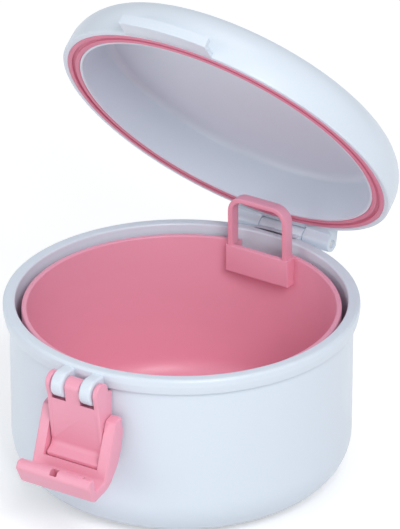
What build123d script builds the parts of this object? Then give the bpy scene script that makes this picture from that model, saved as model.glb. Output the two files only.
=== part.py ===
from build123d import *
import math
import os

# Denture soaking case: a round bowl, a hinged dome lid with a seal ring, a lift-out
# strainer basket with a loop handle, and a draw latch at the front.
# Millimetres and degrees. The case stands on z = 0, its hinge is at +y, its latch at -y.

# Bowl
rim_height = 55.0
bowl_wall = 1.7
bowl_inner_radius = 48.4
bowl_draft = 0.5
bowl_floor = 2.4
bottom_round = 14.0
collar_width = 3.6
collar_depth = 4.8
collar_taper = 0.5

# Lid, measured with the lid closed
closing_gap = 0.5
lid_overhang = 0.7
lid_height = 16.6
lid_dome_radius = 1400.0
lid_edge_round = 12.0
lid_rim_width = 6.45
lid_draft = 0.2
lid_roof = 2.0
lid_inner_round = 2.5
lid_open_angle = 53.0

# Seal ring in the rim of the lid
seal_width = 3.9
seal_outer_land = 1.7
seal_height = 1.4
seal_proud = 0.1
seal_groove_width = 1.0
seal_groove_depth = 0.8
seal_fit = 0.02

# Hinge
hinge_pin_radius = 1.0
barrel_radius = 2.5
barrel_offset = 3.3
barrel_drop = 1.2
centre_knuckle_width = 14.8
barrel_length = 33.4
knuckle_gap = 0.2
pin_fit = 0.02
running_fit = 0.06
pin_recess = 0.35
pin_counterbore = 0.35

# Catch on the front of the lid
catch_width = 30.0
catch_reach = 5.7
catch_shelf = 1.6
catch_lip_width = 1.4
catch_lip_height = 3.2
catch_slope = 18.0
catch_end_round = 0.8

# Ears and lever of the draw latch
lever_pivot_reach = 3.1
lever_pivot_drop = 4.9
latch_pin_radius = 1.0
ear_radius = 4.0
ear_width = 4.3
ear_spacing = 9.7
ear_side_gap = 0.3
ear_round_gap = 0.5
lever_width = 17.8
lever_knuckle_radius = 2.7
blind_wall = 0.8
pin_end_gap = 0.2

# Loop of the draw latch, measured from its pivot in the lever
loop_pivot_in = 2.6
loop_pivot_down = 10.4
loop_pin_radius = 0.9
loop_side_gap = 0.3
arm_width = 3.4
swing_radius = 13.9
swing_gap = 0.4
notch_width = 2.3
notch_offset = 0.9
slot_width = 3.2
slot_length = 1.4

# Basket
basket_gap = 1.8
basket_wall = 1.6
basket_below_rim = 2.3
basket_draft = 1.3
basket_floor = 1.6
basket_round = 8.0
foot_height = 3.0
foot_radius = 2.4
foot_circle = 30.0
foot_count = 4
seat_gap = 0.15
pocket_width = 21.6
pocket_front = 40.1
pocket_depth = 8.6
handle_width = 20.4
handle_height = 16.2
handle_depth = 3.8
handle_strap = 1.6
handle_round = 5.0
hole_radius = 2.6
hole_rings = 2
hole_ring_step = 12.0
holes_per_ring_step = 6

# Places worked out from the sizes
collar_radius = bowl_inner_radius + collar_width
body_radius = bowl_inner_radius + bowl_wall
lid_plane = rim_height + closing_gap
lid_radius = collar_radius + lid_overhang
hinge_y = collar_radius + barrel_offset
hinge_z = rim_height - barrel_drop
hinge_axis = Axis((0, hinge_y, hinge_z), (1, 0, 0))
lever_y = -(collar_radius + lever_pivot_reach)
lever_z = rim_height - lever_pivot_drop
loop_y = lever_y + loop_pivot_in
loop_z = lever_z - loop_pivot_down
basket_rim = rim_height - basket_below_rim
basket_radius = bowl_inner_radius - basket_gap
basket_base = bowl_floor + seat_gap + foot_height


# A flat face from corners (across, up, rounding).
def rounded_face(corners):
    face = make_face(Polyline([(a, b) for a, b, r in corners], close=True))
    for a, b, r in corners:
        if r:
            corner = face.vertices().sort_by_distance((a, b, 0))[0]
            face = fillet(corner, r)
    return face


# A face drawn in radius and height, turned about the vertical axis.
def turned(corners):
    return revolve(Plane.XZ * rounded_face(corners), Axis.Z)


# A face drawn in y and z, spread from one x to another.
def spread(face, x_from, x_to):
    side = Plane.YZ * face
    return Pos(x_from, 0, 0) * extrude(side, x_to - x_from)


# A pin or bore along x.
def rod(y, z, radius, x_from, x_to):
    return spread(Pos(y, z) * Circle(radius), x_from, x_to)


def make_bowl():
    base_radius = body_radius - bowl_draft
    shell = turned([
        (0, 0, 0),
        (base_radius, 0, bottom_round),
        (body_radius, rim_height - collar_depth - 0.5, 0.5),
        (collar_radius - collar_taper, rim_height - collar_depth, 0.4),
        (collar_radius, rim_height - collar_depth / 2, 2.0),
        (collar_radius, rim_height, 1.0),
        (bowl_inner_radius, rim_height, 0.6),
        (bowl_inner_radius - bowl_draft, bowl_floor, bottom_round - bowl_wall),
        (0, bowl_floor, 0),
    ])
    return shell + make_bowl_knuckle() + make_ears() - bowl_bores()


def make_bowl_knuckle():
    root = collar_radius - collar_width / 2
    web = Polyline([
        (root, hinge_z - barrel_radius),
        (hinge_y, hinge_z - barrel_radius),
        (hinge_y, hinge_z),
        (collar_radius, rim_height - 0.6),
        (root, rim_height - 0.6),
    ], close=True)
    barrel = Pos(hinge_y, hinge_z) * Circle(barrel_radius)
    half = centre_knuckle_width / 2
    return spread(make_face(web) + barrel, -half, half)


# Two lugs that carry the lever pin, arched out from the collar.
def make_ears():
    root = collar_radius - collar_width / 2
    arm = Polyline([
        (-root, lever_z + ear_radius),
        (lever_y, lever_z + ear_radius),
        (lever_y, lever_z),
        (-collar_radius, lever_z),
        (-root, rim_height - collar_depth),
    ], close=True)
    lug = make_face(arm) + Pos(lever_y, lever_z) * Circle(ear_radius)
    ears = None
    for side in (-1, 1):
        middle = side * ear_spacing / 2
        ear = spread(lug, middle - ear_width / 2, middle + ear_width / 2)
        ear = fillet(ear.edges().filter_by(GeomType.CIRCLE), 0.5)
        ears = ear if ears is None else ears + ear
    return ears


def bowl_bores():
    hinge_bore = rod(hinge_y, hinge_z, hinge_pin_radius + running_fit,
                     -barrel_length / 2, barrel_length / 2)
    latch_bore = rod(lever_y, lever_z, latch_pin_radius + running_fit,
                     -lever_width / 2, lever_width / 2)
    return hinge_bore + latch_bore


# The lid is drawn closed, then opened about the hinge.
def make_lid():
    crown = lid_plane + lid_height
    drum = turned([
        (0, lid_plane, 0),
        (lid_radius, lid_plane, 0.6),
        (lid_radius - lid_draft, crown + 1, 0),
        (0, crown + 1, 0),
    ])
    dome = Pos(0, 0, crown - lid_dome_radius) * Sphere(lid_dome_radius)
    lid = drum & dome
    shoulder = lid.faces().sort_by(Axis.Z)[-1].edges()
    lid = fillet(shoulder.filter_by(GeomType.CIRCLE), lid_edge_round)
    lid = lid + make_catch() + make_lid_knuckles() - lid_cavity() - seal_channel() - lid_bores()
    return lid.rotate(hinge_axis, -lid_open_angle)


def lid_cavity():
    inner = lid_radius - lid_rim_width
    roof = lid_plane + lid_height - lid_roof
    return turned([
        (0, lid_plane - closing_gap, 0),
        (inner, lid_plane - closing_gap, 0),
        (inner + lid_draft, roof, lid_inner_round),
        (0, roof, 0),
    ])


def seal_channel():
    outer = lid_radius - seal_outer_land
    inner = outer - seal_width
    return turned([
        (inner, lid_plane - closing_gap, 0),
        (outer, lid_plane - closing_gap, 0),
        (outer, lid_plane + seal_height, 0),
        (inner, lid_plane + seal_height, 0),
    ])


# A curved shelf with an upturned lip. Its top is planed to the slope of the hook.
def make_catch():
    front = lid_radius + catch_reach
    shelf = lid_plane + catch_shelf
    profile = rounded_face([
        (lid_radius - seal_outer_land / 2, lid_plane, 0),
        (front, lid_plane, 0.3),
        (front, lid_plane + catch_lip_height + 1, 0),
        (front - catch_lip_width, lid_plane + catch_lip_height + 1, 0),
        (front - catch_lip_width, shelf, 0.5),
        (lid_radius - seal_outer_land / 2, shelf, 0),
    ])
    sweep = 2 * math.degrees(math.asin(catch_width / 2 / front))
    catch = revolve(Plane.XZ * profile, Axis.Z, revolution_arc=sweep)
    catch = Rot(0, 0, -90 - sweep / 2) * catch
    planing = Box(2 * catch_width, 40, 10, align=(Align.CENTER, Align.CENTER, Align.MIN))
    planing = Pos(0, -front, lid_plane + catch_lip_height) * Rot(-catch_slope, 0, 0) * planing
    catch = catch - planing
    ends = catch.edges().filter_by(Axis.Z).sort_by(Axis.Y)[0:2]
    return fillet(ends, catch_end_round)


def make_lid_knuckles():
    root = lid_radius - lid_rim_width
    web = Polyline([
        (root, lid_plane),
        (hinge_y - barrel_radius + 0.3, lid_plane),
        (hinge_y - barrel_radius + 0.3, hinge_z),
        (hinge_y, hinge_z),
        (hinge_y + barrel_radius * 0.94, hinge_z + barrel_radius * 0.34),
        (lid_radius, lid_plane + 2 * barrel_radius),
        (root, lid_plane + 2 * barrel_radius),
    ], close=True)
    profile = make_face(web) + Pos(hinge_y, hinge_z) * Circle(barrel_radius)
    inner_end = centre_knuckle_width / 2 + knuckle_gap
    outer_end = barrel_length / 2
    right = spread(profile, inner_end, outer_end)
    return right + mirror(right, Plane.YZ)


def lid_bores():
    end = barrel_length / 2
    bore = rod(hinge_y, hinge_z, hinge_pin_radius + pin_fit, -end, end)
    for side in (-1, 1):
        mouth = rod(hinge_y, hinge_z, hinge_pin_radius + pin_counterbore, 0, pin_recess + 0.2)
        bore += Pos(side * (end - pin_recess / 2) - pin_recess / 2, 0, 0) * mouth
    return bore


def make_seal():
    outer = lid_radius - seal_outer_land - seal_fit
    inner = lid_radius - seal_outer_land - seal_width + seal_fit
    middle = (outer + inner) / 2
    face_z = lid_plane - seal_proud
    back_z = lid_plane + seal_height - seal_fit
    half_groove = seal_groove_width / 2
    seal = turned([
        (inner, face_z, 0.3),
        (middle - half_groove, face_z, 0.2),
        (middle - half_groove, face_z + seal_groove_depth, 0.3),
        (middle + half_groove, face_z + seal_groove_depth, 0.3),
        (middle + half_groove, face_z, 0.2),
        (outer, face_z, 0.3),
        (outer, back_z, 0),
        (inner, back_z, 0),
    ])
    return seal.rotate(hinge_axis, -lid_open_angle)


def make_hinge_pin():
    half = barrel_length / 2 - pin_recess
    pin = rod(hinge_y, hinge_z, hinge_pin_radius, -half, half)
    return chamfer(pin.edges(), 0.2)


# The lever, drawn from its pivot: (out from the body, up).
def make_lever():
    end = swing_radius - swing_gap
    toe = math.radians(21)
    toe_out = loop_out(end * math.sin(toe))
    toe_down = loop_down(end * math.cos(toe))
    outline = [
        (lever_knuckle_radius - 0.1, 0.4, 0),
        (1.9, -4.4, 0.8),
        (-0.1, -20.2, 2.2),
        (toe_out + 0.35, toe_down + 1.0, 0.5),
        (toe_out, toe_down, 0.5),
        (-2.4, toe_down + 0.1, 1.5),
        (-4.1, -19.0, 3.0),
        (-4.2, -9.0, 3.0),
        (-lever_knuckle_radius + 0.1, -2.0, 1.0),
        (-lever_knuckle_radius + 0.1, 0.4, 0),
    ]
    plate = rounded_face([(lever_y - out, lever_z + up, r) for out, up, r in outline])
    profile = plate + Pos(lever_y, lever_z) * Circle(lever_knuckle_radius)
    half = lever_width / 2
    lever = spread(profile, -half, half)
    lever = fillet(lever.faces().filter_by(Axis.X).edges(), 0.4)
    for side in (-1, 1):
        middle = side * ear_spacing / 2
        reach = ear_width / 2 + ear_side_gap
        lever -= rod(lever_y, lever_z, ear_radius + ear_round_gap, middle - reach, middle + reach)
    pin_bore = rod(lever_y, lever_z, latch_pin_radius + pin_fit, -half, half - blind_wall)
    loop_bore = rod(loop_y, loop_z, loop_pin_radius + running_fit, -half, half)
    return lever - pin_bore - loop_bore


def make_lever_pin():
    half = lever_width / 2
    pin = rod(lever_y, lever_z, latch_pin_radius, -half + pin_end_gap, half - blind_wall - pin_end_gap)
    return chamfer(pin.edges(), 0.2)


# Places measured from the loop pivot, as offsets from the lever pivot.
def loop_out(out):
    return out - loop_pivot_in


def loop_down(down):
    return -loop_pivot_down - down


# The loop: two curved arms joined by a cross bar that ends in a hook.
# Its side outline is given from its pivot: (out from the body, down, rounding).
def make_loop():
    outline = [
        (-2.0, -2.4, 0.6),
        (-2.9, 3.0, 6.0),
        (-1.0, 11.0, 12.0),
        (4.4, 17.9, 7.0),
        (12.6, 19.5, 1.2),
        (15.7, 13.6, 0.7),
        (14.7, 12.1, 0.5),
        (13.5, 12.05, 0.4),
        (11.94, 17.0, 1.0),
        (7.0, 15.1, 0.6),
        (1.4, -1.4, 0.8),
    ]
    face = rounded_face([(loop_y - out, loop_z - down, r) for out, down, r in outline])
    inner = lever_width / 2 + loop_side_gap
    outer = inner + arm_width
    loop = spread(face, -outer, outer)
    loop = fillet(loop.faces().filter_by(Axis.X).edges(), 0.5)
    loop -= rod(loop_y, loop_z, swing_radius, -inner, inner)
    loop -= Pos(notch_offset, loop_y - 15.2, loop_z - 12.9) * Rot(-45, 0, 0) * Box(
        notch_width, 2.0, 1.8)
    loop -= Pos(inner - slot_width / 2, loop_y - 9.2, loop_z - 17.0) * Box(
        slot_width, slot_length, 8)
    bore = rod(loop_y, loop_z, loop_pin_radius + pin_fit, -outer, outer - blind_wall)
    return loop - bore


def make_loop_pin():
    outer = lever_width / 2 + loop_side_gap + arm_width
    pin = rod(loop_y, loop_z, loop_pin_radius, -outer + pin_end_gap, outer - blind_wall - pin_end_gap)
    return chamfer(pin.edges(), 0.2)


def make_basket():
    lower = basket_radius - basket_draft
    outside = turned([
        (0, basket_base, 0),
        (lower, basket_base, basket_round),
        (basket_radius, basket_rim, 0.5),
        (0, basket_rim, 0),
    ])
    inside = turned([
        (0, basket_base + basket_floor, 0),
        (lower - basket_wall, basket_base + basket_floor, basket_round - basket_wall),
        (basket_radius - basket_wall, basket_rim, 0),
        (0, basket_rim, 0),
    ])
    block = Pos(0, pocket_front, basket_rim) * Box(
        pocket_width, basket_radius, pocket_depth, align=(Align.CENTER, Align.MIN, Align.MAX))
    pocket = Pos(0, pocket_front + handle_strap, basket_rim) * Box(
        pocket_width - 2 * handle_strap, basket_radius, pocket_depth - basket_floor,
        align=(Align.CENTER, Align.MIN, Align.MAX))
    basket = outside - (inside - block) - pocket
    basket = basket + make_handle() + basket_feet()
    return basket - floor_holes()


# A flat strap bent into a loop, standing on the front of the pocket.
def make_handle():
    tall = handle_height + handle_strap
    outer = Pos(0, basket_rim - handle_strap) * Rectangle(
        handle_width, tall, align=(Align.CENTER, Align.MIN))
    outer = fillet(outer.vertices().sort_by(Axis.Y)[-2:], handle_round)
    inner = Pos(0, basket_rim - 2 * handle_strap) * Rectangle(
        handle_width - 2 * handle_strap, tall, align=(Align.CENTER, Align.MIN))
    inner = fillet(inner.vertices().sort_by(Axis.Y)[-2:], handle_round - handle_strap)
    strap = extrude(Plane.XZ * (outer - inner), -handle_depth)
    strap = fillet(strap.edges().filter_by(GeomType.CIRCLE), 0.3)
    return Pos(0, pocket_front, 0) * strap


def basket_feet():
    feet = Part()
    foot = Cylinder(foot_radius, foot_height + basket_floor / 2,
                    align=(Align.CENTER, Align.CENTER, Align.MIN))
    for place in PolarLocations(foot_circle, foot_count, start_angle=45):
        feet += place * Pos(0, 0, bowl_floor + seat_gap) * foot
    return feet


def floor_holes():
    hole = Cylinder(hole_radius, 4 * basket_floor)
    holes = Pos(0, 0, basket_base) * hole
    for ring in range(1, hole_rings + 1):
        for place in PolarLocations(ring * hole_ring_step, ring * holes_per_ring_step):
            holes += place * Pos(0, 0, basket_base) * hole
    return holes


parts = {
    "bowl": make_bowl,
    "lid": make_lid,
    "lid_seal": make_seal,
    "hinge_pin": make_hinge_pin,
    "latch_lever": make_lever,
    "lever_pin": make_lever_pin,
    "latch_loop": make_loop,
    "loop_pin": make_loop_pin,
    "strainer_basket": make_basket,
}

os.makedirs("parts", exist_ok=True)
for name, make in parts.items():
    export_step(make(), "parts/" + name + ".step")
    print("wrote", name)
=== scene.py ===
import bpy
import bmesh
import math
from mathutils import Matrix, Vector


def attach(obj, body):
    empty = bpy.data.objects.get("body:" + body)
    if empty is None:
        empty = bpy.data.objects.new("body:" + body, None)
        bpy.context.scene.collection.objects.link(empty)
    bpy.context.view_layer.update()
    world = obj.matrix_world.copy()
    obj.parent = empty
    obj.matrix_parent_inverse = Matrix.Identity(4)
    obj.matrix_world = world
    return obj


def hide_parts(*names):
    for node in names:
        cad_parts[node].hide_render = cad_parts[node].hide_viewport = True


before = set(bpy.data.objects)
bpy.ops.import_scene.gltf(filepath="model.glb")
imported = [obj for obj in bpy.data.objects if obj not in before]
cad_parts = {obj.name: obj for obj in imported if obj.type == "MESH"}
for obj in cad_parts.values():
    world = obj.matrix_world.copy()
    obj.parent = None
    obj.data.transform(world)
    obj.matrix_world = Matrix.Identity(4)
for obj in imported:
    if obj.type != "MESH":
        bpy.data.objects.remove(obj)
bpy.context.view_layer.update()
print("stage: frame loaded")

mm = 0.001
alongX, alongY, alongZ = Vector((1, 0, 0)), Vector((0, 1, 0)), Vector((0, 0, 1))

# The case's own places in millimetres, the same as in its CAD.
case = {
    "rimHeight": 55.0,
    "collarRadius": 52.0,
    "lidPlane": 55.5,
    "lidRadius": 52.7,
    "hinge": (55.3, 53.8),        # y and z of the hinge pin
    "lever": (-55.1, 50.1),       # y and z of the lever's pin
    "loop": (-52.5, 39.7),        # y and z of the loop's pin
    "openAngle": 53.0,
}


# ---- modelling helpers ----

def clearSelection():
    if bpy.context.object and bpy.context.object.mode != "OBJECT":
        bpy.ops.object.mode_set(mode="OBJECT")
    bpy.ops.object.select_all(action="DESELECT")


def takeUp(piece):
    clearSelection()
    piece.select_set(True)
    bpy.context.view_layer.objects.active = piece


def startEdit(piece):
    takeUp(piece)
    bpy.ops.object.mode_set(mode="EDIT")
    bpy.ops.mesh.select_mode(type="VERT")


# Selects the vertices that a test picks, then the edges and faces between them.
def pick(piece, test, kind="VERT"):
    bpy.ops.mesh.select_mode(type="VERT")
    bpy.ops.mesh.select_all(action="DESELECT")
    form = bmesh.from_edit_mesh(piece.data)
    for vert in form.verts:
        vert.select_set(test(vert.co))
    form.select_flush(True)
    bmesh.update_edit_mesh(piece.data)
    if kind != "VERT":
        bpy.ops.mesh.select_mode(type=kind)


# Selects the sharp edges whose two ends a test picks.
def pickEdges(piece, test, sharpest=0.5):
    bpy.ops.mesh.select_mode(type="EDGE")
    bpy.ops.mesh.select_all(action="DESELECT")
    form = bmesh.from_edit_mesh(piece.data)
    for edge in form.edges:
        ends = all(test(vert.co) for vert in edge.verts)
        if ends and len(edge.link_faces) == 2 and edge.calc_face_angle(0) > sharpest:
            edge.select_set(True)
    bmesh.update_edit_mesh(piece.data)


# A flat outline from corners (across, up, rounding) in millimetres, left in edit mode.
def drawOutline(name, corners, across, up, base=Vector((0, 0, 0))):
    clearSelection()
    bpy.ops.mesh.primitive_circle_add(vertices=len(corners), radius=mm, fill_type="NGON")
    piece = bpy.context.object
    piece.name = name
    piece.data.name = name
    startEdit(piece)
    places = [(base + across * a + up * b) * mm for a, b, rounding in corners]
    form = bmesh.from_edit_mesh(piece.data)
    form.verts.ensure_lookup_table()
    for vert, place in zip(form.verts, places):
        vert.co = place
    bmesh.update_edit_mesh(piece.data)
    for i, place in enumerate(places):
        rounding = corners[i][2]
        if rounding:
            incoming = place - places[i - 1]
            outgoing = places[(i + 1) % len(places)] - place
            turn = incoming.angle(outgoing)
            pick(piece, lambda co: (co - place).length < 1e-6)
            bpy.ops.mesh.bevel(offset_type="OFFSET", affect="VERTICES",
                               offset=rounding * mm * math.tan(turn / 2),
                               segments=max(3, round(turn * (2 + rounding ** 0.5) * 2)))
    return piece


# Turns an outline about the vertical axis into a closed round body.
def turnRound(piece, steps=192):
    bpy.ops.mesh.select_all(action="SELECT")
    bpy.ops.mesh.delete(type="ONLY_FACE")
    form = bmesh.from_edit_mesh(piece.data)
    onAxis = [e for e in form.edges if all(v.co.xy.length < 1e-7 for v in e.verts)]
    bmesh.ops.delete(form, geom=onAxis, context="EDGES")
    bmesh.update_edit_mesh(piece.data)
    bpy.ops.mesh.select_all(action="SELECT")
    bpy.ops.mesh.spin(steps=steps, angle=math.tau, center=(0, 0, 0), axis=(0, 0, 1))
    bpy.ops.mesh.select_all(action="SELECT")
    bpy.ops.mesh.remove_doubles(threshold=1e-6)
    bpy.ops.mesh.normals_make_consistent(inside=False)
    bpy.ops.object.mode_set(mode="OBJECT")
    return piece


# Pushes an outline along a direction and rounds the edges of both its ends.
def pushOut(piece, direction, distance, edge=0.0, segments=3):
    first = bmesh.from_edit_mesh(piece.data)
    first.verts.ensure_lookup_table()
    start = first.verts[0].co.dot(direction)
    bpy.ops.mesh.select_all(action="SELECT")
    bpy.ops.mesh.extrude_region_move(
        TRANSFORM_OT_translate={"value": tuple(direction * distance * mm)})
    bpy.ops.mesh.select_all(action="SELECT")
    bpy.ops.mesh.normals_make_consistent(inside=False)
    if edge:
        for level in (start, start + distance * mm):
            pickEdges(piece, lambda co: abs(co.dot(direction) - level) < 1e-7)
            bpy.ops.mesh.bevel(offset_type="OFFSET", offset=edge * mm, segments=segments,
                               affect="EDGES")
    bpy.ops.object.mode_set(mode="OBJECT")
    return piece


# A round cutter or pin blank along x.
def rodAlongX(name, place, radius, fromX, toX, steps=64):
    clearSelection()
    bpy.ops.mesh.primitive_cylinder_add(
        vertices=steps, radius=radius * mm, depth=(toX - fromX) * mm,
        location=((fromX + toX) / 2 * mm, place[0] * mm, place[1] * mm),
        rotation=(0, math.pi / 2, 0))
    piece = bpy.context.object
    piece.name = name
    bpy.ops.object.transform_apply(location=True, rotation=True, scale=True)
    return piece


# A round cutter that stands on the case's own axis.
def rodAlongZ(name, radius, fromZ, toZ, steps=256):
    clearSelection()
    bpy.ops.mesh.primitive_cylinder_add(vertices=steps, radius=radius * mm, depth=(toZ - fromZ) * mm,
                                        location=(0, 0, (fromZ + toZ) / 2 * mm))
    piece = bpy.context.object
    piece.name = name
    bpy.ops.object.transform_apply(location=True, rotation=True, scale=True)
    return piece


def blockBetween(name, low, high):
    clearSelection()
    bpy.ops.mesh.primitive_cube_add(
        size=1, location=[(a + b) / 2 * mm for a, b in zip(low, high)],
        scale=[(b - a) * mm for a, b in zip(low, high)])
    piece = bpy.context.object
    piece.name = name
    bpy.ops.object.transform_apply(location=True, rotation=True, scale=True)
    return piece


def combine(piece, tool, how):
    takeUp(piece)
    fit = piece.modifiers.new(how.lower(), "BOOLEAN")
    fit.operation = how
    fit.solver = "EXACT"
    fit.object = tool
    bpy.ops.object.modifier_apply(modifier=fit.name)
    bpy.data.objects.remove(tool)
    return piece


def cutAway(piece, tool):
    return combine(piece, tool, "DIFFERENCE")


def mergeIn(piece, tool):
    return combine(piece, tool, "UNION")


def joinAll(pieces):
    clearSelection()
    for piece in pieces:
        piece.select_set(True)
    bpy.context.view_layer.objects.active = pieces[0]
    bpy.ops.object.join()
    return pieces[0]


# Opens a piece that was modelled on the closed lid.
def openWithLid(piece):
    startEdit(piece)
    bpy.ops.mesh.select_all(action="SELECT")
    y, z = case["hinge"]
    bpy.ops.transform.rotate(value=math.radians(case["openAngle"]), orient_axis="X",
                             center_override=(0, y * mm, z * mm))
    bpy.ops.object.mode_set(mode="OBJECT")
    return piece


def settle(piece, body, slot, finish, *standsFor):
    takeUp(piece)
    bpy.ops.object.shade_smooth_by_angle(angle=math.radians(32))
    piece.data.materials.clear()
    piece.data.materials.append(finish)
    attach(piece, body)
    if standsFor:
        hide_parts(*standsFor)
    print("  made", piece.name, len(piece.data.polygons), "faces")
    return piece


# ---- finishes ----

def socket(group, name, kind, inOut, value=None):
    made = group.interface.new_socket(name=name, in_out=inOut, socket_type=kind)
    if value is not None:
        made.default_value = value
    return made


# The skin that a mould leaves: slow tone drift, fine grain and a few handling smudges.
def buildMouldedSkin():
    group = bpy.data.node_groups.new("mouldedSkin", "ShaderNodeTree")
    socket(group, "Tone", "NodeSocketColor", "INPUT", (0.8, 0.8, 0.8, 1))
    socket(group, "Deep Tone", "NodeSocketColor", "INPUT", (0.7, 0.7, 0.7, 1))
    socket(group, "Drift", "NodeSocketFloat", "INPUT", 0.3)
    socket(group, "Grain Scale", "NodeSocketFloat", "INPUT", 3000.0)
    socket(group, "Smudge Scale", "NodeSocketFloat", "INPUT", 60.0)
    socket(group, "Gloss Low", "NodeSocketFloat", "INPUT", 0.25)
    socket(group, "Gloss High", "NodeSocketFloat", "INPUT", 0.4)
    socket(group, "Color", "NodeSocketColor", "OUTPUT")
    socket(group, "Roughness", "NodeSocketFloat", "OUTPUT")
    socket(group, "Height", "NodeSocketFloat", "OUTPUT")
    nodes, links = group.nodes, group.links
    entry = nodes.new("NodeGroupInput")
    leave = nodes.new("NodeGroupOutput")
    where = nodes.new("ShaderNodeTexCoord")
    drift = nodes.new("ShaderNodeTexNoise")
    drift.inputs["Scale"].default_value = 22
    drift.inputs["Detail"].default_value = 3
    amount = nodes.new("ShaderNodeMath")
    amount.operation = "MULTIPLY"
    toned = nodes.new("ShaderNodeMix")
    toned.data_type = "RGBA"
    smudge = nodes.new("ShaderNodeTexNoise")
    smudge.inputs["Detail"].default_value = 5
    smudge.inputs["Roughness"].default_value = 0.62
    smudge.inputs["Distortion"].default_value = 0.6
    gloss = nodes.new("ShaderNodeMapRange")
    gloss.inputs["From Min"].default_value = 0.35
    gloss.inputs["From Max"].default_value = 0.68
    grain = nodes.new("ShaderNodeTexNoise")
    grain.inputs["Detail"].default_value = 2
    wave = nodes.new("ShaderNodeTexNoise")
    wave.inputs["Scale"].default_value = 130
    wave.inputs["Detail"].default_value = 1
    waveShare = nodes.new("ShaderNodeMath")
    waveShare.operation = "MULTIPLY"
    waveShare.inputs[1].default_value = 2.2
    height = nodes.new("ShaderNodeMath")
    height.operation = "ADD"
    for noise in (drift, smudge, grain, wave):
        links.new(where.outputs["Object"], noise.inputs["Vector"])
    links.new(entry.outputs["Smudge Scale"], smudge.inputs["Scale"])
    links.new(entry.outputs["Grain Scale"], grain.inputs["Scale"])
    links.new(drift.outputs["Fac"], amount.inputs[0])
    links.new(entry.outputs["Drift"], amount.inputs[1])
    links.new(amount.outputs[0], toned.inputs["Factor"])
    links.new(entry.outputs["Tone"], toned.inputs["A"])
    links.new(entry.outputs["Deep Tone"], toned.inputs["B"])
    links.new(smudge.outputs["Fac"], gloss.inputs["Value"])
    links.new(entry.outputs["Gloss Low"], gloss.inputs["To Min"])
    links.new(entry.outputs["Gloss High"], gloss.inputs["To Max"])
    links.new(wave.outputs["Fac"], waveShare.inputs[0])
    links.new(grain.outputs["Fac"], height.inputs[0])
    links.new(waveShare.outputs[0], height.inputs[1])
    links.new(toned.outputs["Result"], leave.inputs["Color"])
    links.new(gloss.outputs["Result"], leave.inputs["Roughness"])
    links.new(height.outputs[0], leave.inputs["Height"])
    return group


mouldedSkin = buildMouldedSkin()


def mouldedFinish(name, values):
    finish = bpy.data.materials.new(name)
    finish.use_nodes = True
    nodes, links = finish.node_tree.nodes, finish.node_tree.links
    shader = nodes["Principled BSDF"]
    skin = nodes.new("ShaderNodeGroup")
    skin.node_tree = mouldedSkin
    for label in ("Tone", "Deep Tone", "Drift", "Grain Scale", "Smudge Scale",
                  "Gloss Low", "Gloss High"):
        skin.inputs[label].default_value = values[label]
    bump = nodes.new("ShaderNodeBump")
    bump.inputs["Strength"].default_value = values["bump"]
    bump.inputs["Distance"].default_value = values["bumpDepth"]
    links.new(skin.outputs["Color"], shader.inputs["Base Color"])
    links.new(skin.outputs["Roughness"], shader.inputs["Roughness"])
    links.new(skin.outputs["Height"], bump.inputs["Height"])
    links.new(bump.outputs["Normal"], shader.inputs["Normal"])
    for label, value in values["shader"].items():
        shader.inputs[label].default_value = value
    finish.diffuse_color = values["Tone"]
    return finish


whiteValues = {
    "Tone": (0.700, 0.770, 0.850, 1), "Deep Tone": (0.672, 0.745, 0.830, 1), "Drift": 0.4,
    "Grain Scale": 1400.0, "Smudge Scale": 30.0, "Gloss Low": 0.30, "Gloss High": 0.37,
    "bump": 0.04, "bumpDepth": 0.00005,
    "shader": {"IOR": 1.49, "Coat Weight": 0.10, "Coat Roughness": 0.15},
}
pinkValues = {
    "Tone": (0.860, 0.370, 0.485, 1), "Deep Tone": (0.815, 0.330, 0.440, 1), "Drift": 0.5,
    "Grain Scale": 1400.0, "Smudge Scale": 40.0, "Gloss Low": 0.36, "Gloss High": 0.46,
    "bump": 0.06, "bumpDepth": 0.00005,
    "shader": {"IOR": 1.49, "Coat Weight": 0.05, "Coat Roughness": 0.2},
}
sealValues = {
    "Tone": (0.740, 0.235, 0.345, 1), "Deep Tone": (0.680, 0.195, 0.300, 1), "Drift": 0.6,
    "Grain Scale": 4200.0, "Smudge Scale": 80.0, "Gloss Low": 0.45, "Gloss High": 0.60,
    "bump": 0.10, "bumpDepth": 0.00005,
    "shader": {"IOR": 1.42, "Sheen Weight": 0.08},
}
whitePlastic = mouldedFinish("whitePlastic", whiteValues)
pinkPlastic = mouldedFinish("pinkPlastic", pinkValues)
pinkSilicone = mouldedFinish("pinkSilicone", sealValues)


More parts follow.
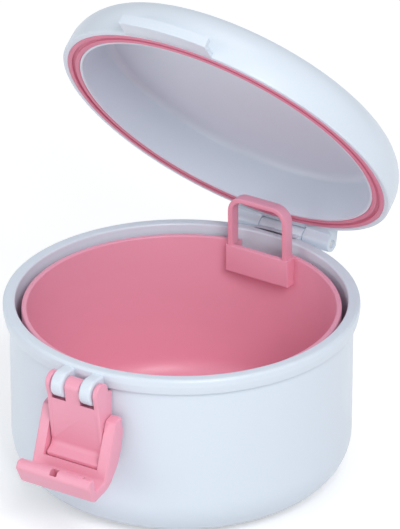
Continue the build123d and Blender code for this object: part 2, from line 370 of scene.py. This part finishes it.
# Drawn wire: lines along the pin and a slightly varied polish.
def wireFinish():
    finish = bpy.data.materials.new("pinSteel")
    finish.use_nodes = True
    nodes, links = finish.node_tree.nodes, finish.node_tree.links
    shader = nodes["Principled BSDF"]
    shader.inputs["Metallic"].default_value = 1.0
    where = nodes.new("ShaderNodeTexCoord")
    stretch = nodes.new("ShaderNodeMapping")
    stretch.inputs["Scale"].default_value = (60, 2600, 2600)
    lines = nodes.new("ShaderNodeTexNoise")
    lines.inputs["Scale"].default_value = 1
    lines.inputs["Detail"].default_value = 4
    tone = nodes.new("ShaderNodeMapRange")
    tone.data_type = "FLOAT"
    tone.inputs["To Min"].default_value = 0.22
    tone.inputs["To Max"].default_value = 0.42
    colour = nodes.new("ShaderNodeMix")
    colour.data_type = "RGBA"
    colour.inputs["A"].default_value = (0.50, 0.51, 0.53, 1)
    colour.inputs["B"].default_value = (0.66, 0.67, 0.68, 1)
    bump = nodes.new("ShaderNodeBump")
    bump.inputs["Strength"].default_value = 0.2
    bump.inputs["Distance"].default_value = 0.00005
    links.new(where.outputs["Object"], stretch.inputs["Vector"])
    links.new(stretch.outputs["Vector"], lines.inputs["Vector"])
    links.new(lines.outputs["Fac"], tone.inputs["Value"])
    links.new(lines.outputs["Fac"], colour.inputs["Factor"])
    links.new(lines.outputs["Fac"], bump.inputs["Height"])
    links.new(tone.outputs["Result"], shader.inputs["Roughness"])
    links.new(colour.outputs["Result"], shader.inputs["Base Color"])
    links.new(bump.outputs["Normal"], shader.inputs["Normal"])
    return finish


pinSteel = wireFinish()
print("stage: finishes made")


# ---- bowl ----

bowlValues = {
    "outerBase": 49.6, "outerTop": 50.1, "bottomRound": 14.0,
    "collarDepth": 4.8, "innerTop": 48.4, "innerBase": 47.9, "floor": 2.4, "innerRound": 12.5,
    "footRadius": 30.0, "footRecess": 0.5,
    "knuckleHalf": 7.4, "knuckleRadius": 2.5, "pinBore": 1.06,
    "earRadius": 4.0, "earLeft": -1.75, "earRight": 2.1, "earSpacing": 9.7, "earEdge": 0.7,
}


def makeBowl():
    v = bowlValues
    rim, collar = case["rimHeight"], case["collarRadius"]
    skirt = rim - v["collarDepth"]
    bowl = drawOutline("bowlShell", [
        (0, v["footRecess"], 0),
        (v["footRadius"], v["footRecess"], 0.3),
        (v["footRadius"] + 0.6, 0, 0.3),
        (v["outerBase"], 0, v["bottomRound"]),
        (v["outerTop"], skirt - 0.5, 0.5),
        (collar - 0.5, skirt, 0.4),
        (collar, rim - v["collarDepth"] / 2, 2.0),
        (collar, rim, 1.0),
        (v["innerTop"], rim, 0.6),
        (v["innerBase"], v["floor"], v["innerRound"]),
        (0, v["floor"], 0),
    ], alongX, alongZ)
    return turnRound(bowl, 256)


# Half buried in the collar, so that only the barrel and its web show.
def makeBowlKnuckle():
    v = bowlValues
    y, z = case["hinge"]
    r = v["knuckleRadius"]
    inside = case["collarRadius"] - 1.8
    knuckle = drawOutline("bowlKnuckle", [
        (inside, z - r, 0),
        (y + r, z - r, r * 0.99),
        (y + r, z + r, r * 0.99),
        (y - r + 0.5, z + r, r * 0.7),
        (y - r + 0.2, z + 1.0, 0.3),
        (case["collarRadius"], z + 1.2, 0),
        (inside, z + 1.2, 0),
    ], alongY, alongZ, alongX * -v["knuckleHalf"])
    pushOut(knuckle, alongX, 2 * v["knuckleHalf"], 0.25)
    return cutAway(knuckle, rodAlongX("bore", case["hinge"], v["pinBore"], -20, 20))


def makeEar(side):
    v = bowlValues
    y, z = case["lever"]
    r = v["earRadius"]
    inside = case["collarRadius"] - 1.8
    middle = side * v["earSpacing"] / 2
    ear = drawOutline("latchEar" + ("Left" if side < 0 else "Right"), [
        (inside, z + r, 0),
        (-y + r, z + r, r * 0.99),
        (-y + r, z - r, r * 0.99),
        (-y - r, z - r, r * 0.98),
        (-y - r, z, 0),
        (inside, z, 0),
    ], -alongY, alongZ, alongX * (middle + v["earLeft"]))
    pushOut(ear, alongX, v["earRight"] - v["earLeft"], v["earEdge"], 4)
    return cutAway(ear, rodAlongX("bore", case["lever"], v["pinBore"], -20, 20))


bowl = settle(makeBowl(), "base", "white_plastic", whitePlastic, "bowl")
settle(makeBowlKnuckle(), "base", "white_plastic", whitePlastic)
for side in (-1, 1):
    settle(makeEar(side), "base", "white_plastic", whitePlastic)
print("stage: bowl made")


# ---- lid, modelled closed and then opened ----

lidValues = {
    "height": 16.6, "domeRadius": 1400.0, "edgeRound": 12.0, "innerRadius": 46.25, "roof": 2.0,
    "innerRound": 2.5, "channelOuter": 51.0, "channelInner": 47.1, "channelDepth": 1.4,
    "draft": 0.2,
    "knuckleInner": 7.6, "knuckleOuter": 16.7, "knuckleRadius": 2.5, "pinBore": 1.02,
    "mouthRadius": 1.35, "mouthDepth": 0.5,
    "catchWidth": 29.4, "catchReach": 5.7, "catchShelf": 1.4, "catchLip": 1.5,
    "webReach": 2.8, "webHalf": 7.4,
    "catchHeight": 3.2, "catchSlope": 5.0,
}


def makeLid():
    v = lidValues
    plane, radius = case["lidPlane"], case["lidRadius"]
    crown = plane + v["height"]
    dome = [(r, crown - r * r / (2 * v["domeRadius"]), 0) for r in (0, 12, 24, 36)]
    edge = radius - v["draft"]
    lid = drawOutline("lidShell", dome + [
        (edge, crown - edge * edge / (2 * v["domeRadius"]), v["edgeRound"]),
        (radius, plane, 0.6),
        (v["channelOuter"], plane, 0.1),
        (v["channelOuter"], plane + v["channelDepth"], 0),
        (v["channelInner"], plane + v["channelDepth"], 0),
        (v["channelInner"], plane, 0.2),
        (v["innerRadius"], plane, 0.4),
        (v["innerRadius"] + v["draft"], crown - v["roof"], v["innerRound"]),
        (0, crown - v["roof"], 0),
    ], alongX, alongZ)
    return turnRound(lid, 256)


def makeCatch():
    v = lidValues
    plane = case["lidPlane"]
    front = case["lidRadius"] + v["catchReach"]
    root = case["lidRadius"] - 1.0
    top = plane + v["catchHeight"]
    sweep = 2 * math.asin((v["catchWidth"] / 2 + 2) / front)
    turn = -math.pi / 2 - sweep / 2
    outward = Vector((math.cos(turn), math.sin(turn), 0))
    catch = drawOutline("lidCatch", [
        (root, plane, 0),
        (front, plane, 0.3),
        (front, top + 1, 0),
        (front - v["catchLip"], top + 1, 0),
        (front - v["catchLip"], plane + v["catchShelf"], 0.5),
        (root, plane + v["catchShelf"], 0),
    ], outward, alongZ)
    bpy.ops.mesh.select_all(action="SELECT")
    bpy.ops.mesh.spin(steps=40, angle=-sweep, center=(0, 0, 0), axis=(0, 0, 1))
    bpy.ops.mesh.select_all(action="SELECT")
    slope = math.radians(v["catchSlope"])
    bpy.ops.mesh.bisect(plane_co=(0, -front * mm, top * mm),
                        plane_no=(0, math.sin(slope), math.cos(slope)),
                        clear_outer=True, use_fill=True)
    for side in (-1, 1):
        bpy.ops.mesh.select_all(action="SELECT")
        bpy.ops.mesh.bisect(plane_co=(side * v["catchWidth"] / 2 * mm, 0, 0),
                            plane_no=(side, 0, 0), clear_outer=True, use_fill=True)
    bpy.ops.mesh.select_all(action="SELECT")
    bpy.ops.mesh.remove_doubles(threshold=1e-6)
    bpy.ops.mesh.normals_make_consistent(inside=False)
    bpy.ops.object.mode_set(mode="OBJECT")
    soften(catch, 0.45, 28)
    return catch


# Rounds every edge sharper than an angle.
def soften(piece, width, angle, segments=3):
    takeUp(piece)
    bevel = piece.modifiers.new("soften", "BEVEL")
    bevel.width = width * mm
    bevel.segments = segments
    bevel.limit_method = "ANGLE"
    bevel.angle_limit = math.radians(angle)
    bpy.ops.object.modifier_apply(modifier=bevel.name)
    return piece


def makeLidKnuckle(side):
    v = lidValues
    y, z = case["hinge"]
    r = v["knuckleRadius"]
    plane = case["lidPlane"]
    start = v["knuckleInner"] if side > 0 else -v["knuckleOuter"]
    knuckle = drawOutline("lidKnuckle" + ("Left" if side < 0 else "Right"), [
        (49.8, plane, 0),
        (y - r, plane, 0.3),
        (y - r, z - r, r * 0.98),
        (y + r, z - r, r * 0.99),
        (y + r, z + 1.0, 1.2),
        (case["lidRadius"], plane + 2 * r, 0),
        (49.8, plane + 2 * r, 0),
    ], alongY, alongZ, alongX * start)
    pushOut(knuckle, alongX, v["knuckleOuter"] - v["knuckleInner"], 0.25)
    cutAway(knuckle, rodAlongZ("channel", v["channelOuter"], plane - 1, plane + v["channelDepth"]))
    cutAway(knuckle, rodAlongX("bore", case["hinge"], v["pinBore"], -20, 20))
    end = v["knuckleOuter"]
    mouth = (end - v["mouthDepth"], end + 1) if side > 0 else (-end - 1, -end + v["mouthDepth"])
    return cutAway(knuckle, rodAlongX("mouth", case["hinge"], v["mouthRadius"], *mouth))


# The stretch of the lid's rim between its knuckles, which follows the bowl's barrel.
def makeLidWeb():
    v = lidValues
    y, z = case["hinge"]
    half = v["webHalf"]
    plane = case["lidPlane"]
    web = blockBetween("lidHingeWeb", (-half, case["lidRadius"] - 0.5, plane - 0.05),
                       (half, y - 0.3, plane + 1.6))
    return cutAway(web, rodAlongX("barrel", case["hinge"], v["webReach"], -20, 20))


ringValues = {
    "outer": 50.98, "inner": 47.12, "proud": 0.1, "depth": 1.38,
    "grooveHalf": 0.5, "grooveDepth": 0.8,
}


def makeSeal():
    v = ringValues
    face = case["lidPlane"] - v["proud"]
    head = case["lidPlane"] + v["depth"]
    middle = (v["outer"] + v["inner"]) / 2
    seal = drawOutline("sealRing", [
        (v["inner"], face, 0.3),
        (middle - v["grooveHalf"], face, 0.25),
        (middle - v["grooveHalf"], face + v["grooveDepth"], 0.3),
        (middle + v["grooveHalf"], face + v["grooveDepth"], 0.3),
        (middle + v["grooveHalf"], face, 0.25),
        (v["outer"], face, 0.3),
        (v["outer"], head, 0),
        (v["inner"], head, 0),
    ], alongX, alongZ)
    return turnRound(seal, 256)


settle(openWithLid(makeLid()), "lid", "white_plastic", whitePlastic, "lid")
settle(openWithLid(makeCatch()), "lid", "white_plastic", whitePlastic)
for side in (-1, 1):
    settle(openWithLid(makeLidKnuckle(side)), "lid", "white_plastic", whitePlastic)
settle(openWithLid(makeLidWeb()), "lid", "white_plastic", whitePlastic)
settle(openWithLid(makeSeal()), "lid", "pink_rubber", pinkSilicone, "lid_seal")
print("stage: lid made")


# ---- strainer basket ----

basketValues = {
    "base": 5.55, "rim": 52.7, "outerTop": 46.6, "outerBase": 45.3, "wall": 1.6, "floor": 1.6,
    "bottomRound": 8.0, "pocketWidth": 21.6, "pocketFront": 40.1, "pocketDepth": 8.6,
    "blockBack": 44.6, "handleWidth": 20.4, "handleHeight": 16.2, "handleDepth": 3.8,
    "strap": 1.6, "handleRound": 5.0, "handleSeat": 0.7, "handleSetBack": 0.12, "edge": 0.35,
    "holeRadius": 2.6, "ringStep": 12.0, "rings": 2, "holesPerRing": 6,
    "footRadius": 2.4, "footHeight": 3.0, "footCircle": 30.0,
}


def makeBasketShell():
    v = basketValues
    rim, base = v["rim"], v["base"]
    shell = drawOutline("basketShell", [
        (0, base, 0),
        (v["outerBase"], base, v["bottomRound"]),
        (v["outerTop"], rim, 0.5),
        (v["outerTop"] - v["wall"], rim, 0.5),
        (v["outerBase"] - v["wall"], base + v["floor"], v["bottomRound"] - v["wall"]),
        (0, base + v["floor"], 0),
    ], alongX, alongZ)
    turnRound(shell, 192)
    half = v["pocketWidth"] / 2
    block = blockBetween("block", (-half, v["pocketFront"], rim - v["pocketDepth"]),
                         (half, v["blockBack"], rim))
    startEdit(block)
    pickEdges(block, lambda co: co.y < (v["pocketFront"] + 1) * mm)
    bpy.ops.mesh.bevel(offset=v["edge"] * mm, segments=4, affect="EDGES")
    bpy.ops.object.mode_set(mode="OBJECT")
    mergeIn(shell, block)
    inner = v["handleWidth"] / 2 - v["strap"]
    cutAway(shell, blockBetween(
        "pocket", (-inner, v["pocketFront"] + v["strap"], rim - v["pocketDepth"] + v["floor"]),
        (inner, 60, rim + 5)))
    drills = []
    for ring in range(v["rings"] + 1):
        count = max(1, ring * v["holesPerRing"])
        for i in range(count):
            turn = math.tau * i / count
            clearSelection()
            bpy.ops.mesh.primitive_cylinder_add(
                vertices=32, radius=v["holeRadius"] * mm, depth=6 * mm,
                location=(ring * v["ringStep"] * math.cos(turn) * mm,
                          ring * v["ringStep"] * math.sin(turn) * mm, base * mm))
            drills.append(bpy.context.object)
    drill = joinAll(drills)
    bpy.ops.object.transform_apply(location=True, rotation=True, scale=True)
    return cutAway(shell, drill)


def makeHandle():
    v = basketValues
    half, inner = v["handleWidth"] / 2, v["handleWidth"] / 2 - v["strap"]
    foot, top = v["rim"] - v["handleSeat"], v["rim"] + v["handleHeight"]
    r = v["handleRound"]
    handle = drawOutline("basketHandle", [
        (-half, foot, 0), (-half, top, r), (half, top, r), (half, foot, 0),
        (inner, foot, 0), (inner, top - v["strap"], r - v["strap"]),
        (-inner, top - v["strap"], r - v["strap"]), (-inner, foot, 0),
    ], alongX, alongZ, alongY * (v["pocketFront"] + v["handleSetBack"]))
    return pushOut(handle, alongY, v["handleDepth"] - v["handleSetBack"], v["edge"], 4)


def makeFoot(number):
    v = basketValues
    turn = math.tau * (number + 0.5) / 4
    foot = drawOutline("basketFoot" + str(number + 1), [
        (0, 2.55, 0), (v["footRadius"], 2.55, 0.6), (v["footRadius"], v["base"] + 0.4, 0),
        (0, v["base"] + 0.4, 0),
    ], alongX, alongZ)
    turnRound(foot, 48)
    startEdit(foot)
    bpy.ops.mesh.select_all(action="SELECT")
    bpy.ops.transform.translate(value=(v["footCircle"] * math.cos(turn) * mm,
                                       v["footCircle"] * math.sin(turn) * mm, 0))
    bpy.ops.object.mode_set(mode="OBJECT")
    return foot


settle(makeBasketShell(), "basket", "pink_plastic", pinkPlastic, "strainer_basket")
settle(makeHandle(), "basket", "pink_plastic", pinkPlastic)
for number in range(4):
    settle(makeFoot(number), "basket", "pink_plastic", pinkPlastic)
print("stage: basket made")


# ---- draw latch ----

leverValues = {
    "width": 17.8, "slotRadius": 4.95, "slotWidth": 4.8, "earSpacing": 9.7,
    "pinBore": 1.02, "loopBore": 0.96, "edge": 0.45, "blindWall": 0.8, "cheek": 1.6,
    # (out from the pivot, up from the pivot, rounding)
    "outline": [
        (2.7, 2.7, 2.65), (2.7, 0.0, 0.8), (1.9, -4.4, 0.8), (-0.1, -20.2, 2.2),
        (2.55, -22.2, 0.4), (2.35, -23.3, 0.2), (1.0, -23.72, 0), (-0.7, -24.07, 0),
        (-2.4, -24.15, 1.5), (-4.1, -19.0, 3.0), (-4.2, -9.0, 3.0), (-2.6, -2.0, 1.0),
        (-2.7, 2.7, 2.65),
    ],
    # the deeper walls at both ends of the plate
    "cheekOutline": [
        (3.1, 3.1, 3.0), (3.1, -0.3, 1.5), (2.0, -4.4, 1.0), (0.1, -19.0, 1.0),
        (-3.6, -19.0, 1.5), (-5.2, -13.0, 3.0), (-5.25, -0.9, 0.6), (-3.2, -0.3, 0.5),
        (-3.2, 3.1, 3.0),
    ],
}


def makeLever():
    v = leverValues
    y, z = case["lever"]
    half = v["width"] / 2
    lever = drawOutline("leverPlate", [(-y + out, z + up, r) for out, up, r in v["outline"]],
                        -alongY, alongZ, alongX * -half)
    pushOut(lever, alongX, v["width"], v["edge"], 4)
    for start in (-half, half - v["cheek"]):
        cheek = drawOutline("cheek", [(-y + out, z + up, r) for out, up, r in v["cheekOutline"]],
                            -alongY, alongZ, alongX * start)
        pushOut(cheek, alongX, v["cheek"], v["edge"], 4)
        mergeIn(lever, cheek)
    for side in (-1, 1):
        middle = side * v["earSpacing"] / 2
        cutAway(lever, rodAlongX("slot", case["lever"], v["slotRadius"],
                                 middle - v["slotWidth"] / 2, middle + v["slotWidth"] / 2, 96))
    cutAway(lever, rodAlongX("bore", case["lever"], v["pinBore"], -half - 1, half - v["blindWall"]))
    cutAway(lever, rodAlongX("bore", case["loop"], v["loopBore"], -half - 1, half + 1))
    return lever


loopValues = {
    "inner": 9.2, "outer": 12.6, "swing": 13.9, "edge": 0.5, "pinBore": 0.92, "blindWall": 0.8,
    # (out from the pivot, down from the pivot, rounding)
    "outline": [
        (-2.0, -2.4, 0.6), (-2.9, 3.0, 6.0), (-1.0, 11.0, 12.0), (4.4, 17.9, 7.0),
        (12.6, 19.5, 1.4), (15.7, 13.8, 1.2), (14.8, 11.7, 1.0), (12.4, 11.6, 0.8),
        (11.7, 16.3, 1.0), (7.0, 15.0, 0.8), (1.4, -1.4, 0.8),
    ],
}


def makeLoop():
    v = loopValues
    y, z = case["loop"]
    loop = drawOutline("hookLoop", [(-y + out, z - down, r) for out, down, r in v["outline"]],
                       -alongY, alongZ, alongX * -v["outer"])
    pushOut(loop, alongX, 2 * v["outer"], v["edge"], 4)
    cutAway(loop, rodAlongX("swing", case["loop"], v["swing"], -v["inner"], v["inner"], 192))
    notch = blockBetween("notch", (-1.1, -1.2, -3.0), (1.3, 1.2, 3.0))
    startEdit(notch)
    bpy.ops.mesh.select_all(action="SELECT")
    bpy.ops.transform.rotate(value=math.radians(-20), orient_axis="X", center_override=(0, 0, 0))
    bpy.ops.transform.translate(value=(0, (y - 14.3) * mm, (z - 12.2) * mm))
    bpy.ops.object.mode_set(mode="OBJECT")
    cutAway(loop, notch)
    cutAway(loop, blockBetween("slit", (9.3, y - 13.7, z - 12.9), (12.1, y - 12.2, z - 10.5)))
    cutAway(loop, rodAlongX("bore", case["loop"], v["pinBore"], -v["outer"] - 1,
                            v["outer"] - v["blindWall"]))
    return loop


settle(makeLever(), "lever", "pink_plastic", pinkPlastic, "latch_lever")
settle(makeLoop(), "loop", "pink_plastic", pinkPlastic, "latch_loop")
print("stage: latch made")


# ---- pins, kept from the CAD ----

for node in ("hinge_pin", "lever_pin", "loop_pin"):
    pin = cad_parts[node]
    pin.data.materials.clear()
    pin.data.materials.append(pinSteel)


# ---- stage, light and camera ----

stageValues = {
    "floorRadius": 1.6, "floorTone": (0.80, 0.80, 0.81, 1), "floorLift": 0.36,
    "worldTone": (0.93, 0.96, 1.0, 1), "worldLevel": 0.50,
}


def makeFloor():
    clearSelection()
    bpy.ops.mesh.primitive_circle_add(vertices=96, radius=stageValues["floorRadius"],
                                      fill_type="NGON", location=(0, 0, -0.0002))
    floor = bpy.context.object
    floor.name = "studioFloor"
    finish = bpy.data.materials.new("studioPaper")
    finish.use_nodes = True
    nodes, links = finish.node_tree.nodes, finish.node_tree.links
    shader = nodes["Principled BSDF"]
    shader.inputs["Roughness"].default_value = 0.9
    where = nodes.new("ShaderNodeTexCoord")
    fibre = nodes.new("ShaderNodeTexNoise")
    fibre.inputs["Scale"].default_value = 40
    fibre.inputs["Detail"].default_value = 3
    tone = nodes.new("ShaderNodeMix")
    tone.data_type = "RGBA"
    tone.inputs["A"].default_value = stageValues["floorTone"]
    tone.inputs["B"].default_value = [c * 0.985 for c in stageValues["floorTone"]]
    path = nodes.new("ShaderNodeLightPath")
    seen = nodes.new("ShaderNodeMath")
    seen.operation = "MAXIMUM"
    seenAll = nodes.new("ShaderNodeMath")
    seenAll.operation = "MAXIMUM"
    lift = nodes.new("ShaderNodeMath")
    lift.operation = "MULTIPLY"
    lift.inputs[1].default_value = stageValues["floorLift"]
    shader.inputs["Emission Color"].default_value = (1, 1, 1, 1)
    links.new(where.outputs["Object"], fibre.inputs["Vector"])
    links.new(fibre.outputs["Fac"], tone.inputs["Factor"])
    links.new(tone.outputs["Result"], shader.inputs["Base Color"])
    links.new(path.outputs["Is Camera Ray"], seen.inputs[0])
    links.new(path.outputs["Is Glossy Ray"], seen.inputs[1])
    links.new(seen.outputs[0], seenAll.inputs[0])
    links.new(path.outputs["Is Transmission Ray"], seenAll.inputs[1])
    links.new(seenAll.outputs[0], lift.inputs[0])
    links.new(lift.outputs[0], shader.inputs["Emission Strength"])
    floor.data.materials.append(finish)


def makeWorld():
    world = bpy.data.worlds.new("studioWorld")
    bpy.context.scene.world = world
    world.use_nodes = True
    nodes, links = world.node_tree.nodes, world.node_tree.links
    nodes.clear()
    leave = nodes.new("ShaderNodeOutputWorld")
    ambient = nodes.new("ShaderNodeBackground")
    ambient.inputs["Color"].default_value = stageValues["worldTone"]
    ambient.inputs["Strength"].default_value = stageValues["worldLevel"]
    backdrop = nodes.new("ShaderNodeBackground")
    backdrop.inputs["Color"].default_value = (1, 1, 1, 1)
    backdrop.inputs["Strength"].default_value = 1.0
    path = nodes.new("ShaderNodeLightPath")
    seen = nodes.new("ShaderNodeMath")
    seen.operation = "MAXIMUM"
    mix = nodes.new("ShaderNodeMixShader")
    links.new(path.outputs["Is Camera Ray"], seen.inputs[0])
    links.new(path.outputs["Is Transmission Ray"], seen.inputs[1])
    links.new(seen.outputs[0], mix.inputs["Fac"])
    links.new(ambient.outputs[0], mix.inputs[1])
    links.new(backdrop.outputs[0], mix.inputs[2])
    links.new(mix.outputs[0], leave.inputs["Surface"])


def makeLamp(name, place, power, size, aim=(0, 0, 0.05)):
    light = bpy.data.lights.new(name, "AREA")
    light.energy = power
    light.shape = "DISK"
    light.size = size
    lamp = bpy.data.objects.new(name, light)
    bpy.context.scene.collection.objects.link(lamp)
    lamp.location = place
    lamp.rotation_euler = (Vector(aim) - Vector(place)).to_track_quat("-Z", "Y").to_euler()


cameraValues = {
    "azimuth": 33.07, "elevation": 26.89, "distance": 3.0, "pixelsPerMm": 3.435,
    "centre": (181.6, 344.2),   # where the point 40 mm up the axis falls in the picture
    "picture": (400, 529), "sensor": 36.0,
}


def makeCamera():
    v = cameraValues
    azimuth, elevation = math.radians(v["azimuth"]), math.radians(v["elevation"])
    right = Vector((math.cos(azimuth), math.sin(azimuth), 0))
    back = Vector((math.sin(azimuth) * math.cos(elevation),
                   -math.cos(azimuth) * math.cos(elevation), math.sin(elevation)))
    up = back.cross(right)
    wide, tall = v["picture"]
    aim = Vector((0, 0, 40))
    aim += right * ((wide / 2 - v["centre"][0]) / v["pixelsPerMm"])
    aim += up * ((v["centre"][1] - tall / 2) / v["pixelsPerMm"])
    lens = bpy.data.cameras.new("studioCamera")
    camera = bpy.data.objects.new("studioCamera", lens)
    bpy.context.scene.collection.objects.link(camera)
    camera.location = aim * mm + back * v["distance"]
    camera.rotation_euler = (-back).to_track_quat("-Z", "Y").to_euler()
    lens.sensor_width = v["sensor"]
    lens.lens = v["sensor"] * v["pixelsPerMm"] * v["distance"] / mm / tall
    lens.clip_start, lens.clip_end = 0.5, 20
    bpy.context.scene.camera = camera


makeFloor()
makeWorld()
makeLamp("keyLamp", (0.75, -0.60, 0.85), 8.0, 0.6)
makeLamp("fillLamp", (-0.55, -1.0, 0.12), 3.6, 0.8, (0, 0, 0.09))
makeLamp("topLamp", (-0.1, 0.25, 1.2), 2.4, 0.8)
makeCamera()
bpy.context.scene.view_settings.view_transform = "Standard"
clearSelection()
print("stage: studio made")
